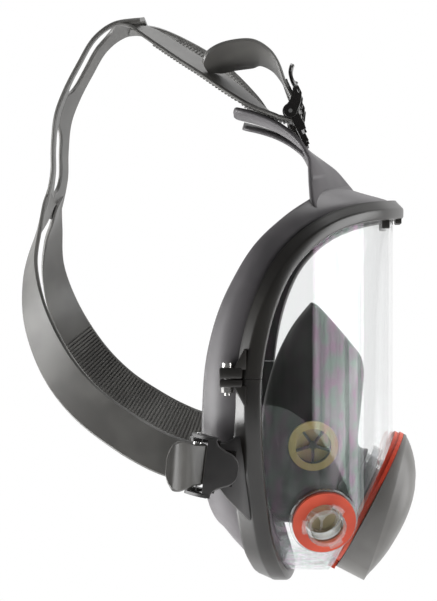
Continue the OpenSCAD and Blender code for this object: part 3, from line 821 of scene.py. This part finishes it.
def add_teeth(bm, path, first, last, pitch=2.0):
    """Bars across the toothed side, between two places along the path in mm."""
    walked, due = 0.0, first
    for i in range(1, len(path)):
        step = (path[i][0] - path[i - 1][0]).length
        while walked <= due < walked + step and due < last:
            t = (due - walked) / step
            along, side, up_side = strap_frame(path, i)
            centre = mix(path[i - 1][0], path[i][0], t) - up_side * (STRAP_T / 2 + 0.25)
            basis = Matrix((along, side, up_side)).transposed().to_4x4()
            basis.translation = centre
            made = bmesh.ops.create_cube(bm, size=1)["verts"]
            bmesh.ops.scale(bm, vec=(1.0, path[i][2] - 1.6, 1.0), verts=made)
            bmesh.ops.transform(bm, matrix=basis, verts=made)
            due += pitch
        walked += step


def length_of(path):
    return sum((path[i][0] - path[i - 1][0]).length for i in range(1, len(path)))


# %% [markdown]
# The crown is two mirrored bands, each from the outer edge to the middle.
# Where there is a slot, the middle edge steps back along a rounded end, and
# elsewhere the two bands overlap a little so that no gap shows.

# %% Crown with its two slots
crown_keys = [(-50, 170.3), (-63.3, 168.5), (-74, 160.7), (-82, 147.6), (-88.9, 134.5), (-93.7, 121.3),
              (-95.3, 105.5), (-95.6, 92.3), (-98.1, 79.1), (-101, 69)]
crown_line = curve([Vector((x, 0, z)) for x, z in crown_keys], 8)
SLOTS = ((Vector((-79, 0, 152)), 20.5), (Vector((-96, 0, 100)), 18))  # centre, half length
SLOT_R, OVERLAP = 9.5, 0.3
CROWN_HALF, CROWN_RISE = 24, 4


def slot_half(p):
    """Half the slot's width at a place on the crown, or a small overlap beyond its ends."""
    for centre, half in SLOTS:
        d = (p - centre).length
        if d < half - SLOT_R:
            return SLOT_R
        if d < half:
            return math.sqrt(max(SLOT_R**2 - (d - half + SLOT_R) ** 2, 0.3))
    return -OVERLAP


def crown_side(s):
    """One half of the crown, from its outer edge to the slots, domed across."""
    outer, inner = [], []
    last = len(crown_line) - 1
    for i, p in enumerate(crown_line):
        along = (crown_line[min(i + 1, last)] - crown_line[max(i - 1, 0)]).normalized()
        rise = along.cross(Y) * -CROWN_RISE * (1 - 0.6 * i / last)
        y = slot_half(p)
        outer.append(p - Y * s * CROWN_HALF)
        inner.append(p + rise * (1 - max(y, 0) / CROWN_HALF) - Y * s * y)
    return outer, inner


harness_bm = bmesh.new()
for s in (1, -1):
    a, b = crown_side(s)
    loft(band_rings(a, b, STRAP_T), bm=harness_bm)
LOWER_AHEAD = Vector((math.cos(LOWER_PITCH), 0, -math.sin(LOWER_PITCH)))
for s in (1, -1):
    run, free_end = upper_run, upper_tail
    if s == -1:
        run, free_end = slackened(run, RUN_SHARE), slackened(free_end, TAIL_SHARE)
    upper = dense(run, 10) + wrap(UPPER_O, X, Z, -106, 26) + dense(free_end, 10)
    lower = dense(lower_run, 10) + wrap(LOWER_O, LOWER_AHEAD, -Y, -90, 37) + dense(lower_tail, 10)
    for path, first, stop in ((upper, 26, 132), (lower, 88, 198)):
        start = len(harness_bm.verts)
        loft(strap_rings(path, STRAP_T), bm=harness_bm)
        add_teeth(harness_bm, path, first, min(stop, length_of(path)))
        harness_bm.verts.ensure_lookup_table()
        if s == -1:
            fresh = harness_bm.verts[start:]
            bmesh.ops.scale(harness_bm, vec=(1, -1, 1), verts=fresh)
piece("Head_harness", harness_bm, "facepiece", strap_rubber, ["head_harness"], smooth=35)

# %% [markdown]
# ## Buckles
#
# The bodies, rollers and pins are exact parts, so only their edges need
# rounding: a moulded edge always catches a thin line of light. The levers
# are made again, with a finger plate that curves. They are drawn once in the
# buckle's own axes, and one matrix puts each of the four in its place.

# %% Levers and the rest of the buckles
def buckle_place(place, side):
    """From the buckle's own axes, x to the facepiece and z away from the head, to the frame's."""
    spin = Matrix.Rotation(UPPER_PITCH if place == "upper" else LOWER_PITCH, 4, "Y")
    if place == "lower":
        spin = spin @ Matrix.Rotation(math.pi / 2, 4, "X")
    flip_side = Matrix.Scale(SIDES[side], 4, Y)
    return flip_side @ Matrix.Translation(UPPER_O if place == "upper" else LOWER_O) @ spin


EAR_R, EAR_IN, EAR_OUT = 3.4, 13, 14.6
PLATE_T = 1.9


def ear(bm, y0, y1):
    """One ear round the pin, with its arm up to the finger plate."""
    angles = [math.radians(d) for d in range(-150, 61, 15)]
    round_part = [(EAR_R * math.cos(a), EAR_R * math.sin(a)) for a in angles]
    outline = round_part + [(-1.5, 6.4), (-5.5, 8.9), (-9.6, 8.9), (-9.6, 6.2), (-5.2, 2.6)]
    return loft([[Vector((x, y, z)) for x, z in outline] for y in (y0, y1)], bm=bm)


def lever(place, side):
    """Two ears and a curved finger plate that narrows to its tip, and turns up on the upper ones."""
    bm = bmesh.new()
    ear(bm, EAR_IN, EAR_OUT)
    ear(bm, -EAR_OUT, -EAR_IN)
    if place == "upper":
        keys = [(-5.6, 7.6, 14.6), (-8.5, 7.9, 14.6), (-11, 7.7, 9.5), (-14.5, 7.6, 7), (-18, 8.4, 6.2),
                (-20.6, 10.2, 5), (-21.6, 11.4, 3)]
    else:
        keys = [(-5.6, 7.6, 14.6), (-8.5, 7.9, 14.6), (-11, 7.9, 11), (-14.5, 7.7, 9), (-18, 7.4, 7.5),
                (-20.4, 7.1, 5), (-21.2, 7, 2.6)]
    a, b = (curve([Vector((x, n * w, z)) for x, z, w in keys], 5) for n in (-1, 1))
    loft(band_rings(a, b, PLATE_T), bm=bm)
    if place == "lower":
        bmesh.ops.scale(bm, vec=(-1, 1, 1), verts=bm.verts)
    bmesh.ops.transform(bm, matrix=buckle_place(place, side), verts=bm.verts)
    node = f"{place}_buckle_lever_{side}"
    # The lower levers are painted in the tabs' darkened rubber tone, which is painted shade, so they sink
    # into the tab's shadow.
    obj = piece("Lever_" + place + "_" + side, bm, node + "_body",
                black_plastic if place == "upper" else shaded_tab_rubber, [node], smooth=40)
    bevel(obj, 0.4)


for side in SIDES:
    for place in ("upper", "lower"):
        dress(f"{place}_buckle_base_{side}", black_plastic, round_by=0.5)
        lever(place, side)
        dress(f"{place}_buckle_roller_{side}", chrome, round_by=0.3)
        dress(f"{place}_buckle_pin_{side}", chrome, round_by=0.2)

# %% [markdown]
# ## Studio
#
# A pale floor under a white sky, a broad lamp on either side, a small one low
# on the left and one overhead. The rubber is dark, so its shape is told by
# broad soft reflections more than by shadows. The floor glows faintly, which
# keeps it pale where little light falls on it.

# %% Floor, light and camera
# From here on, places and sizes are in metres.
FLOOR_HALF, FLOOR_Z = 0.9, -0.36
TARGET, DISTANCE = Vector((-0.0113, 0, 0.026)), 0.9
AZIMUTH, ELEVATION = math.radians(4), math.radians(1)


def floor():
    bm = bmesh.new()
    bmesh.ops.create_grid(bm, x_segments=1, y_segments=1, size=FLOOR_HALF)
    bmesh.ops.translate(bm, vec=(0, 0, FLOOR_Z), verts=bm.verts)
    mesh = bpy.data.meshes.new("Floor")
    bm.to_mesh(mesh)
    bm.free()
    obj = bpy.data.objects.new("Floor", mesh)
    bpy.context.scene.collection.objects.link(obj)
    material, _, shader, _ = new_material("Pale floor")
    shader.inputs["Base Color"].default_value = (0.92, 0.92, 0.92, 1)
    shader.inputs["Roughness"].default_value = 0.9
    shader.inputs["Emission Color"].default_value = (1, 1, 1, 1)
    shader.inputs["Emission Strength"].default_value = 0.12
    mesh.materials.append(material)


def lamp(name, where, size, power):
    data = bpy.data.lights.new(name, "AREA")
    data.size, data.energy = size, power
    obj = bpy.data.objects.new(name, data)
    bpy.context.scene.collection.objects.link(obj)
    obj.location = where
    towards = Vector((0, 0, 0.02)) - Vector(where)
    obj.rotation_euler = towards.to_track_quat("-Z", "Y").to_euler()


def white_studio():
    """A sky that looks white, but lights the piece brightly only from behind and beside."""
    sky = bpy.data.worlds.new("White studio")
    bpy.context.scene.world = sky
    sky.use_nodes = True
    tree = sky.node_tree
    direction = use(tree, "TexCoord", "Generated", {}, {})
    toward = use(tree, "SeparateXYZ", "Y", {}, {"Vector": direction})
    seen = use(tree, "LightPath", "Is Camera Ray", {}, {})
    glow = toward.between(-0.4, 0.8) * 0.8 + 0.13
    background = tree.nodes["Background"]
    background.inputs["Color"].default_value = (1, 1, 1, 1)
    plug(tree, background.inputs["Strength"], seen + (1 - seen) * glow)


floor()
white_studio()
lamp("Right", (1.4, -0.2, 0.05), 1.2, 22)
lamp("Left", (-1.2, -0.05, -0.1), 0.9, 12)
lamp("Low", (-0.5, -0.1, -0.33), 0.5, 9)
lamp("Top", (0.1, 0.3, 1.3), 1.0, 12)
bpy.context.scene.view_settings.view_transform = "Standard"

camera = bpy.data.cameras.new("Camera")
camera.sensor_width, camera.lens = 36, 102.4
camera.clip_start, camera.clip_end = 0.01, 100
view = bpy.data.objects.new("Camera", camera)
bpy.context.scene.collection.objects.link(view)
level = math.cos(ELEVATION)
back = Vector((math.sin(AZIMUTH) * level, -math.cos(AZIMUTH) * level, math.sin(ELEVATION)))
view.location = TARGET + back * DISTANCE
view.rotation_euler = (-back).to_track_quat("-Z", "Y").to_euler()
bpy.context.scene.camera = view
print("camera", [round(c, 3) for c in view.location])
